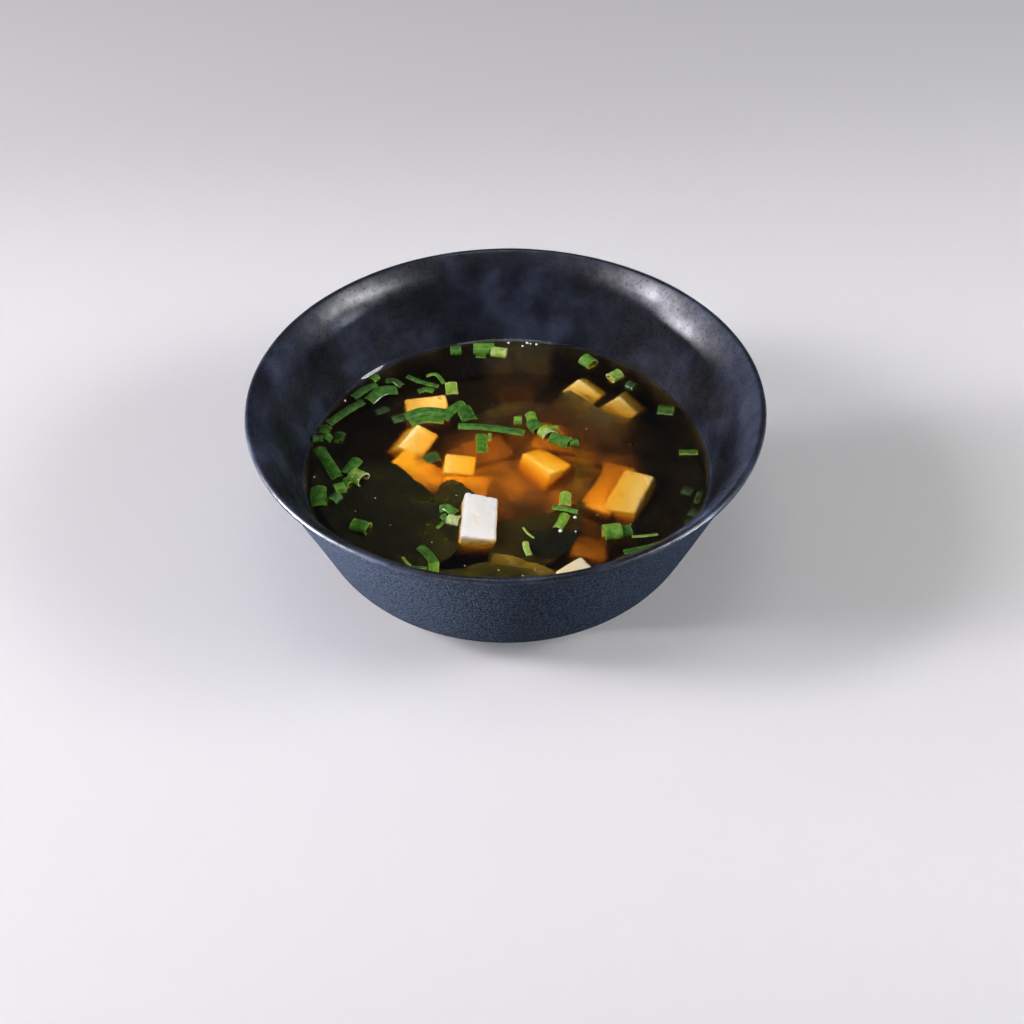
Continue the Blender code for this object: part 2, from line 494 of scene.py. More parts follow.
def curdFinish():
    # silken tofu: soft, wet and a little translucent, so that its edges glow
    made, tree, shader = newMaterial("wetSilkenTofu")
    place = addNode(tree, "TexCoord").outputs["Object"]
    cloudy = addNode(tree, "TexNoise", links={"Vector": place},
                     values={"Scale": 1 / (5 * mm), "Detail": 5.0})
    curd = rampNode(tree, cloudy.outputs["Fac"], [
        (0.3, "#F2E8DA"), (0.5, "#F3F0E7"), (0.8, "#F6F5EF")])
    soaked = addNode(tree, "Attribute", attribute_name="soaked").outputs["Fac"]
    depthShadeScale = addNode(tree, "Attribute", attribute_name="depthShadeScale").outputs["Fac"]
    stain = rampNode(tree, soaked, [
        (0.0, (1.0, 1.0, 1.0)), (0.25, (0.97, 0.82, 0.52)), (0.55, (0.96, 0.70, 0.24)),
        (1.0, (0.52, 0.33, 0.12))])
    stained = addNode(tree, "Mix", data_type="RGBA", blend_type="MULTIPLY", values={0: 1.0},
                      links={6: curd.outputs["Color"], 7: stain.outputs["Color"]})
    # painted shade: each die's colour is darkened by its own factor, for the light that reaches it
    paintedShade = addNode(tree, "Attribute", attribute_name="paintedShade").outputs["Color"]
    withPaintedShade = addNode(tree, "Mix", data_type="RGBA", blend_type="MULTIPLY", values={0: 1.0},
                     links={6: stained.outputs[2], 7: paintedShade})
    tree.links.new(paintedDepthShade(tree, withPaintedShade.outputs[2], depthShadeScale), shader.inputs["Base Color"])
    grain = addNode(tree, "TexNoise", links={"Vector": place},
                    values={"Scale": 1 / (0.8 * mm), "Detail": 4.0})
    bump = addNode(tree, "Bump", values={"Distance": 0.12 * mm, "Strength": 0.25},
                   links={"Height": grain.outputs["Fac"]})
    tree.links.new(bump.outputs["Normal"], shader.inputs["Normal"])
    setSockets(shader, Roughness=0.42, Specular_IOR_Level=0.22, Subsurface_Weight=0.25,
               Subsurface_Scale=1.2 * mm, Subsurface_Radius=(1.0, 0.7, 0.45))
    return made


def roughenCurd(die, seed):
    # an even skin of small faces, then knife drag, broken edges and pores
    addModifier(die, "REMESH", mode="VOXEL", voxel_size=tofuLook["voxel"] * mm)
    addModifier(die, "SMOOTH", factor=0.5, iterations=3)
    applyAll(die)
    for vertex in die.data.vertices:
        spot = vertex.co
        move = wobble(spot, 4 * mm, seed) * tofuLook["unevenness"] * mm
        move += wobble(spot, 1.1 * mm, seed + 4) * 0.035 * mm
        pit = wobble(spot, tofuLook["poreSpacing"] * mm, seed + 9)
        move -= tofuLook["poreDepth"] * mm * smoothStep(0.30, 0.55, pit)
        vertex.co = spot + vertex.normal * move
    smoothAll(die, 80)


def soak(die, amount):
    # patchy, and on a die that stands out of the liquid strongest where it meets it; that band is kept off the
    # upward faces, so on the sides it is partly real stain and partly painted shade
    standing = max(vertex.co.z for vertex in die.data.vertices) > brothTop + 0.5 * mm
    values = []
    for vertex in die.data.vertices:
        footStainAndShade = smoothStep(brothTop + 2.6 * mm, brothTop - 0.2 * mm, vertex.co.z) if standing else 0.0
        footStainAndShade *= 1 - smoothStep(0.5, 0.95, vertex.normal.z)
        patchy = amount * (1 + 0.5 * wobble(vertex.co, 3.5 * mm, 12.0))
        values.append(min(1.0, patchy + 0.85 * footStainAndShade))
    return values


def makeTofu():
    finish = curdFinish()
    standing = []
    for index, name in enumerate(sorted(name for name in nodes if name.startswith("tofu"))):
        die = copyOf(nodes[name], name + "_curd")
        die.parent = None
        lower = (0, 0, -tofuLook["sink"].get(name, 0) * mm)
        onWholeMesh(die, mergeDoubles, lambda: bpy.ops.transform.translate(value=lower))
        roughenCurd(die, index * 3.1)
        pointValues(die, "soaked", soak(die, tofuLook["soaked"].get(name, 0)))
        for key in ("depthShadeScale", "paintedShade"):
            pointValues(die, key, [tofuLook[key].get(name, 1)] * len(die.data.vertices))
        finishPiece(die, finish, "tofu", name)
        standing.append(die)
    blocks = []
    for index, (name, (top, size, turn, depthShadeScale)) in enumerate(sunkTofu.items()):
        deselectAll()
        bpy.ops.mesh.primitive_cube_add(size=1)
        block = bpy.context.object
        block.scale = Vector(size) * mm
        bpy.ops.object.transform_apply(location=False, rotation=False, scale=True)
        lower = (0, 0, -size[2] / 2 * mm)
        onWholeMesh(block, lambda: bpy.ops.transform.translate(value=lower))
        addModifier(block, "BEVEL", width=tofuLook["sunkRounding"] * mm, segments=3)
        block.rotation_mode = "YXZ"
        block.rotation_euler = Euler([math.radians(turn[axis]) for axis in (1, 2, 0)], "YXZ")
        block.location = (top[0] * mm, top[1] * mm, brothTop - top[2] * mm)
        applyAll(block)
        roughenCurd(block, 40 + index * 2.3)
        for key, value in (("soaked", tofuLook["sunkSoaked"]), ("depthShadeScale", depthShadeScale), ("paintedShade", 1.0)):
            pointValues(block, key, [value] * len(block.data.vertices))
        blocks.append(block)
    sunk = joinAll("sunkTofu", blocks)
    finishPiece(sunk, finish, "tofu")
    print("tofu cut:", len(standing), "dice at the surface and", len(blocks), "sunk")
    return standing


# miso cloud and broth

cloudShape = {
    "middle": (10.0, 4.0),     # mm; where the cloud stands highest
    "depth": 8.5,              # under the level, there
    "edgeDepth": 17.0,
    "spread": (22.0, 56.0),
    "lumps": 1.4,
    "clearance": 0.3,          # inside the glaze
    "glow": 0.42,              # painted glow in the middle, which falls off over glowReach
    "glowReach": (14, 46),
    "sunkGlow": 0.55,          # and the painted glow that the sunk and the standing dice add
    "standingGlow": 0.18,
    "bright": (16.0, 12.5, 8.0, 0.30),   # a painted lit spot, as if light came through a sunk die: x, y, radius and strength
}


tofuMiddles = [(low + high) / 2 for low, high in (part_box(name) for name in nodes if name.startswith("tofu"))]


def paintedCloudGlow(spot):
    # painted glow: brighter round the tofu, as if it threw light into the cloud
    middle = Vector((*cloudShape["middle"], 0)) * mm
    reach = (Vector((spot.x, spot.y, 0)) - middle).length / mm
    glow = cloudShape["glow"] * (1 - smoothStep(*cloudShape["glowReach"], reach))
    for top, size, turn, depthShadeScale in sunkTofu.values():
        gap = math.hypot(spot.x / mm - top[0], spot.y / mm - top[1]) / (max(size[:2]) * 0.62)
        glow += cloudShape["sunkGlow"] * math.exp(-gap * gap) * (1 - top[2] / 14)
    brightX, brightY, brightRadius, strength = cloudShape["bright"]
    gap = math.hypot(spot.x / mm - brightX, spot.y / mm - brightY) / brightRadius
    glow += strength * math.exp(-gap * gap)
    for centre in tofuMiddles:
        gap = math.hypot(spot.x - centre.x, spot.y - centre.y) / (9 * mm)
        glow += cloudShape["standingGlow"] * math.exp(-gap * gap)
    glow *= 1 + 0.45 * wobble(spot, 9 * mm, 2.0) + 0.3 * wobble(spot, 4 * mm, 5.0)
    return min(1.0, max(0.0, glow))


def cloudFinish():
    # suspended soybean paste: its colour is painted light and shade, dark brown, and orange where light would
    # reach it
    made, tree, shader = newMaterial("misoCloudWithPaintedGlow")
    place = addNode(tree, "TexCoord").outputs["Object"]
    glow = addNode(tree, "Attribute", attribute_name="glow").outputs["Fac"]
    wisps = addNode(tree, "TexNoise", links={"Vector": place},
                    values={"Scale": 1 / (7 * mm), "Detail": 5.0, "Roughness": 0.55, "Distortion": 0.6})
    spread = addNode(tree, "MapRange", links={"Value": wisps.outputs["Fac"]},
                     values={"From Min": 0.3, "From Max": 0.7, "To Min": 0.72, "To Max": 1.2})
    amount = addNode(tree, "Math", operation="MULTIPLY",
                     links={0: glow, 1: spread.outputs["Result"]})
    ramp = rampNode(tree, amount.outputs[0], [
        (0.0, "#14120A"), (0.2, "#32240C"), (0.42, "#653D0F"),
        (0.7, "#A06212"), (1.0, "#D68A1A")])
    tree.links.new(ramp.outputs["Color"], shader.inputs["Base Color"])
    setSockets(shader, Roughness=0.9, IOR=1.34)
    return made


def brothFinish():
    # clear dashi with fine haze: a sharp wet surface, and depths that blur with distance
    made, tree, shader = newMaterial("dashiBroth")
    setSockets(shader, Base_Color=(1, 1, 1, 1), Transmission_Weight=1.0, Roughness=0.34, IOR=1.333,
               Specular_Tint=(0, 0, 0, 1), Coat_Weight=1.0, Coat_Roughness=0.02, Coat_IOR=1.333)
    lampRay = addNode(tree, "LightPath").outputs["Is Shadow Ray"]
    passing = addNode(tree, "BsdfTransparent")
    both = addNode(tree, "MixShader",
                   links={0: lampRay, 1: shader.outputs["BSDF"], 2: passing.outputs["BSDF"]})
    amber = addNode(tree, "VolumeAbsorption",
                    values={"Color": (0.90, 0.70, 0.20, 1), "Density": 60.0})
    output = tree.nodes["Material Output"]
    tree.links.new(both.outputs["Shader"], output.inputs["Surface"])
    tree.links.new(amber.outputs["Volume"], output.inputs["Volume"])
    return made


def makeCloud():
    # turned flat just under the level, then its top is let down to the cloud's own depth
    level = brothTop / mm - 4
    floor = bowlShape["floorHeight"] + 0.2
    profile = roundedPath([
        (0.0, level, 0),
        (innerWall(level) - cloudShape["clearance"], level, 0),
        (innerWall(floor) - cloudShape["clearance"], floor, 14.0),
        (0.0, floor, 0),
    ], 1.2)
    cloud = turnOnWheel("misoCloud", profile, 160)
    middle = Vector((*cloudShape["middle"], 0)) * mm
    glow = []
    for vertex in cloud.data.vertices:
        spot = vertex.co
        reach = (Vector((spot.x, spot.y, 0)) - middle).length / mm
        deep = cloudShape["depth"] + (cloudShape["edgeDepth"] - cloudShape["depth"]) * smoothStep(
            *cloudShape["spread"], reach)
        deep += wobble((spot.x, spot.y, 0), 11 * mm, 6.0) * cloudShape["lumps"]
        share = (spot.z / mm - floor) / (level - floor)
        lowered = floor + share * (brothTop / mm - deep - floor)
        wall = innerWall(lowered) / innerWall(spot.z / mm)
        vertex.co = Vector((spot.x * wall, spot.y * wall, lowered * mm))
        glow.append(paintedCloudGlow(vertex.co))
    pointValues(cloud, "glow", glow)
    smoothAll(cloud, 60)
    finishPiece(cloud, cloudFinish(), "broth")
    print("miso cloud settled")


brothShape = {
    "intoWall": 0.25,       # mm, as are the rest
    "wallSlope": 0.60,      # the liquid climbs the glaze
    "steeper": 0.43,        # and more so over one stretch
    "steepAt": (128, 16),   # the middle and half width of that, in degrees
    "wallReach": 0.75,
    "wallBend": 0.16,
    "wallLean": 0.4,        # how far out its edge moves as it climbs
    "fineBand": 4.0,        # next to the wall, with closer rings
    "foodRise": 0.7,        # it also climbs the food
    "foodReach": 0.9,
    "ripple": 0.05,
}


def makeBroth(floating):
    level = brothTop / mm
    into = brothShape["intoWall"]
    floor = bowlShape["floorHeight"] - into
    edge = innerWall(level)
    band = brothShape["fineBand"]
    profile = roundedPath([
        (0.0, level, 0),
        (edge - band, level, 0),
    ], 0.7)
    profile += [Vector((edge - band * (1 - step / 16) ** 1.5, level)) for step in range(1, 16)]
    profile += roundedPath([
        (edge + into, level, 0),
        (innerWall(floor) + into, floor, 14.0),
        (0.0, floor, 0),
    ], 0.7)
    broth = turnOnWheel("misoBroth", profile, 360)
    trees = []
    for piece in floating:
        trees.append(BVHTree.FromPolygons([v.co for v in piece.data.vertices],
                                          [p.vertices for p in piece.data.polygons]))
    bend = brothShape["wallBend"]
    steepMiddle, steepWidth = brothShape["steepAt"]
    for vertex in broth.data.vertices:
        spot = vertex.co
        if abs(spot.z - brothTop) > 0.01 * mm:
            continue
        toWall = edge - math.hypot(spot.x, spot.y) / mm
        outward = brothShape["wallLean"] * max(0, 1 - max(0, toWall))
        toWall -= outward
        turn = (math.degrees(math.atan2(spot.y, spot.x)) - steepMiddle) / steepWidth
        slope = brothShape["wallSlope"] + brothShape["steeper"] * math.exp(-turn ** 4)
        rise = slope * bend * math.log(1 + math.exp((brothShape["wallReach"] - toWall) / bend))
        for tree in trees:
            found = tree.find_nearest(spot, 3 * mm)
            if found[0]:
                rise = max(rise, brothShape["foodRise"] * math.exp(-found[3] / mm / brothShape["foodReach"]))
        rise += wobble(spot, 13 * mm, 1.0) * brothShape["ripple"]
        vertex.co += Vector((spot.x, spot.y, 0)).normalized() * outward * mm + Vector((0, 0, rise * mm))
    smoothAll(broth, 50)
    finishPiece(broth, brothFinish(), "broth", "broth")
    print("broth poured")


# wakame

leafMesh = {"columns": 26, "rows": 60, "thickness": 0.22}   # faces across and along, and mm

# each leaf's tone is partly its own colour and partly painted light: leaves over the lit middle are paler, as
# if light came through them
wakameLeaves = {         # two edges of each leaf, in mm: x, y and depth under the level
    "leftLobe": {
        "tone": 0.24, "film": 0.97, "fade": 0.0, "ruffle": 0.4,
        "edge": [(-38, 3.5, 1.6), (-33.5, 1.4, 0.5), (-30.5, -1.8, 0.35), (-27, -6.2, 0.4),
                 (-24.5, -8.4, 0.45), (-21.6, -13.4, 0.7)],
        "root": [(-57, 4, 2.0), (-57, -10, 1.2), (-50, -26, 1.0), (-41, -36, 1.0), (-33, -43, 1.0),
                 (-26, -47, 1.2)]},
    "leftFold": {
        "tone": 0.30, "film": 0.98, "fade": 0.1, "ruffle": 0.5,
        "edge": [(-29, -13.5, 0.3), (-25, -14.0, 0.12), (-20, -16.5, 0.15), (-17.5, -20, 0.4)],
        "root": [(-27, -20, 1.2), (-24, -23, 1.2), (-20, -26, 1.0), (-17.5, -27, 1.2)]},
    "besideFront": {
        "tone": 0.52, "film": 0.92, "fade": 0.0, "ruffle": 0.4,
        "edge": [(-21.5, -12.5, 0.9), (-18.8, -7.0, 0.5), (-14.6, -6.8, 0.45), (-9.0, -12.6, 0.8)],
        "root": [(-27, -44, 1.2), (-21, -42, 0.9), (-14.6, -36, 0.9), (-12.8, -26, 1.2)]},
    "frontFold": {
        "tone": 1.15, "film": 0.9, "fade": 0.5, "ruffle": 0.5,
        "edge": [(-4, -37.6, 0.5), (1, -38.6, 0.25), (6, -40.8, 0.2), (11, -43.4, 0.3), (15, -47.6, 0.5)],
        "root": [(-5, -41.2, 0.9), (0, -42.4, 0.7), (5, -44.4, 0.7), (9, -47.4, 0.8), (12, -50.6, 0.9)]},
    "frontLeaf": {
        "tone": 0.70, "film": 0.94, "fade": 0.0, "ruffle": 0.6,
        "edge": [(-22, -43, 1.0), (-14, -43.5, 0.8), (-6, -40.5, 0.9), (4, -41.5, 0.9), (13, -44, 1.0),
                 (18, -46, 1.2)],
        "root": [(-18, -54, 1.2), (-12, -55.5, 1.0), (-4, -57, 1.0), (4, -57.5, 1.0), (12, -56.5, 1.0),
                 (18, -54, 1.2)]},
    "frontRight": {
        "tone": 0.86, "film": 0.90, "fade": 0.1, "ruffle": 0.4,
        "edge": [(25, -46.5, 0.9), (29, -41.5, 0.7), (34, -38, 0.7), (41, -34.5, 0.9)],
        "root": [(24, -52.5, 1.3), (31, -49.5, 1.1), (38, -45.0, 1.1), (44, -39, 1.3)]},
    "underOnions": {
        "tone": 0.58, "film": 0.80, "fade": 0.1, "ruffle": 0.5,
        "edge": [(-3, -24.5, 1.4), (5, -22, 1.2), (12, -20.5, 1.2), (18, -17.5, 1.3), (23, -15, 2.0)],
        "root": [(-6, -42, 2.2), (4, -43, 1.8), (10, -42, 1.6), (16, -37, 1.6), (21, -29, 2.2)]},
    "torn": {
        "tone": 0.02, "film": 1.0, "fade": 0.0, "ruffle": 0.3,
        "edge": [(6.5, -29, 0.35), (11, -28, 0.3), (16, -29, 0.25), (21.5, -28.5, 0.3)],
        "root": [(7, -36, 0.6), (10.5, -39.5, 0.5), (15, -38.5, 0.5), (18.5, -34.5, 0.5)]},
    "rightShore": {
        "tone": 0.10, "film": 0.96, "fade": 0.0, "ruffle": 0.6,
        "edge": [(38, 9, 6.0), (42.5, 1, 5.5), (44, -7, 4.8), (40, -16, 4.0), (36, -24, 3.2),
                 (33.5, -28, 3.0)],
        "root": [(52, 12, 6.0), (57, 3, 3.0), (58.5, -8, 2.0), (56.5, -19, 1.8), (52, -28, 1.8),
                 (42, -33, 2.0)]},
    "rightLeaf": {
        "tone": 0.84, "film": 0.74, "fade": 0.75, "ruffle": 0.5,
        "edge": [(13.5, 29.5, 2.4), (19.2, 34.8, 0.9), (24.5, 30.6, 0.5), (31.5, 23.4, 0.5), (42, 20, 1.6)],
        "root": [(15, 18, 6.5), (19, 14, 6.5), (24, 11, 6.5), (32, 9, 7.0), (40, 10, 8.5)]},
    "arch": {
        "tone": 0.66, "film": 0.55, "fade": 0.6, "ruffle": 0.4,
        "edge": [(-12, 22, 2.4), (-4, 27.5, 1.4), (4, 30.0, 1.2), (15, 28.5, 2.2)],
        "root": [(-8, 16, 5.0), (-1, 18.5, 5.0), (5, 20.5, 5.0), (13, 20, 5.4)]},
    "backLeaf": {
        "tone": 0.62, "film": 0.72, "fade": 0.7, "ruffle": 0.5,
        "edge": [(-8, 57.5, 1.2), (1, 59.6, 0.6), (9, 59.2, 0.6), (16, 56.4, 1.0)],
        "root": [(-8, 36, 6.5), (0, 33, 6.5), (8, 34, 6.5), (14.5, 40, 5.0)]},
    "betweenDice": {
        "tone": 1.05, "film": 0.76, "fade": 0.25, "ruffle": 0.6,
        "edge": [(20, 11, 3.2), (21, 3, 2.0), (19.6, -6, 1.6), (16.5, -13, 1.5)],
        "root": [(28, 9, 4.8), (28.4, 0, 4.0), (25.4, -8, 3.4), (21, -16, 2.8)]},
}


def alongPoints(points, share):
    # a smooth line through a few given points
    place = share * (len(points) - 1)
    index = min(int(place), len(points) - 2)
    t = place - index
    before, start, end, after = (
        Vector(points[min(max(index + step, 0), len(points) - 1)]) for step in (-1, 0, 1, 2))
    return 0.5 * (2 * start + (end - before) * t + (2 * before - 5 * start + 4 * end - after) * t ** 2
                  + (3 * start - before - 3 * end + after) * t ** 3)


def makeSheet(name, columns, rows, place):
    # a grid whose points go where place(across, along) says, both running from 0 to 1
    deselectAll()
    bpy.ops.mesh.primitive_grid_add(x_subdivisions=columns, y_subdivisions=rows, size=1)
    sheet = bpy.context.object
    sheet.name = name
    for vertex in sheet.data.vertices:
        vertex.co = place(vertex.co.x + 0.5, vertex.co.y + 0.5)
    return sheet


def wakameFinish():
    # boiled sea vegetable: thin and slippery; its paler olive tones are partly painted light, where light
    # would come through
    made, tree, shader = newMaterial("boiledWakame")
    place = addNode(tree, "TexCoord").outputs["Object"]
    tone = addNode(tree, "Attribute", attribute_name="tone").outputs["Fac"]
    film = addNode(tree, "Attribute", attribute_name="film").outputs["Fac"]
    patches = addNode(tree, "TexNoise", links={"Vector": place},
                      values={"Scale": 1 / (6 * mm), "Detail": 5.0, "Roughness": 0.6})
    spread = addNode(tree, "MapRange", links={"Value": patches.outputs["Fac"]},
                     values={"From Min": 0.3, "From Max": 0.7, "To Min": -0.26, "To Max": 0.26})
    amount = addNode(tree, "Math", operation="MULTIPLY_ADD",
                     links={0: tone, 2: spread.outputs["Result"]}, values={1: 0.85})
    flesh = rampNode(tree, amount.outputs[0], [
        (0.0, "#0C0F05"), (0.3, "#1B2008"), (0.6, "#37390D"),
        (0.85, "#585016"), (1.0, "#7C6C2C")])
    tree.links.new(paintedDepthShade(tree, flesh.outputs["Color"]), shader.inputs["Base Color"])
    thin = addNode(tree, "MapRange", links={"Value": patches.outputs["Fac"]},
                   values={"From Min": 0.35, "From Max": 0.65, "To Min": 1.08, "To Max": 0.78})
    cover = addNode(tree, "Math", operation="MULTIPLY", use_clamp=True,
                    links={0: film, 1: thin.outputs["Result"]})
    tree.links.new(cover.outputs[0], shader.inputs["Alpha"])
    cells = addNode(tree, "TexNoise", links={"Vector": place}, values={"Scale": 1 / (0.7 * mm)})
    bump = addNode(tree, "Bump", values={"Distance": 0.15 * mm, "Strength": 0.4},
                   links={"Height": cells.outputs["Fac"]})
    tree.links.new(bump.outputs["Normal"], shader.inputs["Normal"])
    setSockets(shader, Roughness=0.45, Specular_IOR_Level=0.12)
    return made


def makeWakame():
    leaves = []
    for index, (name, leaf) in enumerate(wakameLeaves.items()):
        def place(across, along, leaf=leaf, seed=index * 5.3):
            edge = alongPoints(leaf["edge"], along)
            root = alongPoints(leaf["root"], along)
            ragged = wobble((along * 22, seed, 0), 1.0) * 0.5 + wobble((along * 60, seed, 4), 1.0) * 0.25
            spot = edge.lerp(root, across) + (edge - root).normalized() * ragged * (1 - across)
            loose = abs(2 * across - 1) ** 2
            spot.z += wobble((spot.x, spot.y, seed), 4.5) * leaf["ruffle"] * (0.4 + 1.2 * loose)
            return Vector((spot.x * mm, spot.y * mm, brothTop - max(0.12, spot.z) * mm))
        columns, rows = leafMesh["columns"], leafMesh["rows"]
        sheet = makeSheet(name, columns, rows, place)
        cover = []
        for vertex in sheet.data.vertices:
            along, across = divmod(vertex.index, columns + 1)
            toEnd = min(along, rows - along) / rows
            ends = 1 - (1 - smoothStep(0, 0.3, toEnd)) * min(1.0, 1.3 * leaf["fade"])
            cover.append(leaf["film"] * ends * (1 - leaf["fade"] * (across / columns) ** 1.5))
        addModifier(sheet, "SOLIDIFY", thickness=leafMesh["thickness"] * mm, offset=0.0)
        applyAll(sheet)
        onWholeMesh(sheet, faceOutwards)
        pointValues(sheet, "tone", [leaf["tone"]] * len(sheet.data.vertices))
        pointValues(sheet, "film", cover * 2)
        leaves.append(sheet)
    wakame = joinAll("wakame", leaves)
    smoothAll(wakame, 60)
    finishPiece(wakame, wakameFinish(), "broth")
    print("wakame laid:", len(leaves), "leaves")


# spring onion

onionShape = {
    "faceSize": 0.4,     # mm, as are the walls
    "tubeWall": 0.5,
    "stripWall": 0.38,
    "paleRim": 0.16,     # how much paler the cut edges are
    "paleInside": 0.22,  # and the inside of the leaf
}

onionStrips = [          # middle line in mm (x, y, lift over the level), width, curl in degrees, paleness
    ([(-37.5, 40.6, 0.3), (-35, 40.0, 0.6), (-32.6, 37.8, 0.3)], 2.6, 110, 0.22),
    ([(-47.6, 32.3, 0.3), (-44, 36.2, 0.5), (-40.6, 38.6, 0.3)], 3.0, 80, 0.30),
    ([(-42.6, 30.6, 0.3), (-39.2, 34.4, 1.2), (-34.4, 36.2, 0.4)], 4.5, 100, 0.36),
    ([(-31, 42.6, 0.2), (-26.5, 39.3, 0.5), (-21, 37.4, 0.2)], 1.8, 90, 0.30),
    ([(-25, 42.6, 0.2), (-22, 42.8, 0.6), (-19.4, 38.8, 0.2)], 1.4, 80, 0.42),
    ([(-27.4, 35.0, 0.1), (-25, 36.0, 0.3), (-22.6, 35.2, 0.1)], 2.3, 90, 0.34),
    ([(-17.3, 38.9, 0.4), (-16.7, 33.2, 0.4)], 3.8, 40, 0.66),
    ([(-44.6, 30.2, 0.4), (-49.4, 25.4, 0.6), (-54.6, 20.0, 0.3)], 3.1, 90, 0.28),
    ([(-54.8, 18.8, 0.2), (-55.6, 15.4, 0.2)], 3.4, 80, 0.26),
    ([(-55.4, -9.2, 0.5), (-55.2, -13.0, 0.8), (-54.6, -17.0, 0.3)], 4.8, 80, 0.34),
    ([(-56.6, 8.4, 0.3), (-54.2, 3.6, 0.7), (-50.0, -4.8, 0.3)], 3.6, 100, 0.34),
    ([(-44.4, 2.8, 0.8), (-48.0, -3.2, 0.3)], 3.8, 80, 0.36),
    ([(-31.0, 22.6, 0.3), (-25.4, 24.8, 1.0), (-18.2, 24.4, 0.3)], 4.0, 90, 0.34),
    ([(-29.6, 20.4, 0.0), (-24.6, 22.0, 0.2), (-19.0, 21.4, 0.0)], 4.2, 70, 0.38),
    ([(-19.2, 21.2, 0.4), (-16.6, 25.6, 0.6), (-13.4, 29.2, 0.3)], 3.4, 90, 0.36),
    ([(-13.6, 27.2, 0.2), (-11.2, 20.8, 0.1)], 4.8, 50, 0.27),
    ([(-14.6, 18.2, 0.3), (-5, 17.0, 0.5), (5.6, 14.4, 0.3)], 3.0, 90, 0.34),
    ([(-7.6, 14.0, 0.2), (-7.3, 5.6, 0.2)], 3.3, 60, 0.38),
    ([(-5.0, 14.2, 0.2), (-5.1, 10.8, 0.2)], 1.0, 60, 0.55),
    ([(-24.6, 3.2, -0.5), (-20.4, 5.0, -0.5)], 4.2, 30, 0.20),
    ([(-24.7, -34.8, 0.3), (-22.4, -38.0, 0.6), (-20.4, -41.4, 0.3)], 2.8, 100, 0.32),
    ([(-20.7, -41.0, 0.2), (-20.8, -45.4, 0.3)], 3.0, 70, 0.56),
    ([(-29.6, -39.0, 0.2), (-28.6, -40.8, 0.3), (-27.3, -42.3, 0.2)], 0.9, 60, 0.60),
    ([(-26.9, -43.0, 0.1), (-22.6, -43.3, 0.2)], 1.2, 60, 0.36),
    ([(-19.4, -19.0, 0.5), (-17.4, -19.2, 1.1), (-14.6, -21.4, 0.7)], 3.2, 100, 0.40),
    ([(-19.0, -23.2, 0.3), (-17.4, -22.4, 0.8)], 2.6, 80, 0.30),
    ([(-18.2, -24.6, 0.2), (-20.2, -27.2, 0.1)], 1.1, 60, 0.40),
    ([(17.2, -13.0, 0.5), (16.8, -18.4, 0.5)], 3.4, 130, 0.62),
    ([(13.2, -19.4, 0.6), (16.4, -20.4, 1.0), (20.4, -21.4, 0.5)], 1.9, 90, 0.42),
    ([(16.9, -22.2, 0.4), (14.4, -28.0, 0.4)], 3.0, 140, 0.56),
    ([(35.6, -31.8, 0.3), (39.4, -31.8, 0.5), (43.0, -31.0, 0.3)], 1.0, 60, 0.60),
    ([(33.0, -38.0, 0.2), (38.8, -36.6, 0.4), (44.8, -34.2, 0.2)], 2.1, 70, 0.34),
    ([(5.2, -33.4, 0.3), (5.4, -36.2, 0.6), (6.2, -38.8, 0.3)], 1.8, 90, 0.72),
    ([(4.6, -27.4, 0.2), (5.6, -29.6, 0.3), (7.6, -31.8, 0.2)], 0.7, 60, 0.62),
    ([(46.8, 25.4, -0.5), (51.6, 24.4, -0.4)], 4.4, 50, 0.30),
    ([(51.8, 4.8, -0.1), (57.4, 4.6, 0.0)], 2.4, 60, 0.40),
    ([(51.6, -11.4, -0.7), (54.4, -12.8, -0.6)], 3.2, 50, 0.12),
    ([(56.6, -12.8, -0.5), (55.2, -17.4, -0.6)], 1.8, 50, 0.14),
    ([(53.0, -20.6, -0.7), (56.2, -22.4, -0.7)], 3.4, 50, 0.10),
    ([(51.2, -25.4, -0.8), (54.0, -25.8, -0.7)], 3.0, 50, 0.10),
    ([(12.4, 16.6, -0.5), (15.8, 16.4, -0.5)], 3.6, 40, 0.52),
    ([(-40.2, 25.4, -0.5), (-36.4, 27.4, -0.5)], 2.6, 50, 0.10),
    ([(-34.8, 21.8, -0.3), (-30.4, 23.4, -0.2)], 3.6, 70, 0.22),
    ([(-9.4, 52.6, 0.1), (-6.4, 52.2, 0.1)], 1.8, 60, 0.34),
]

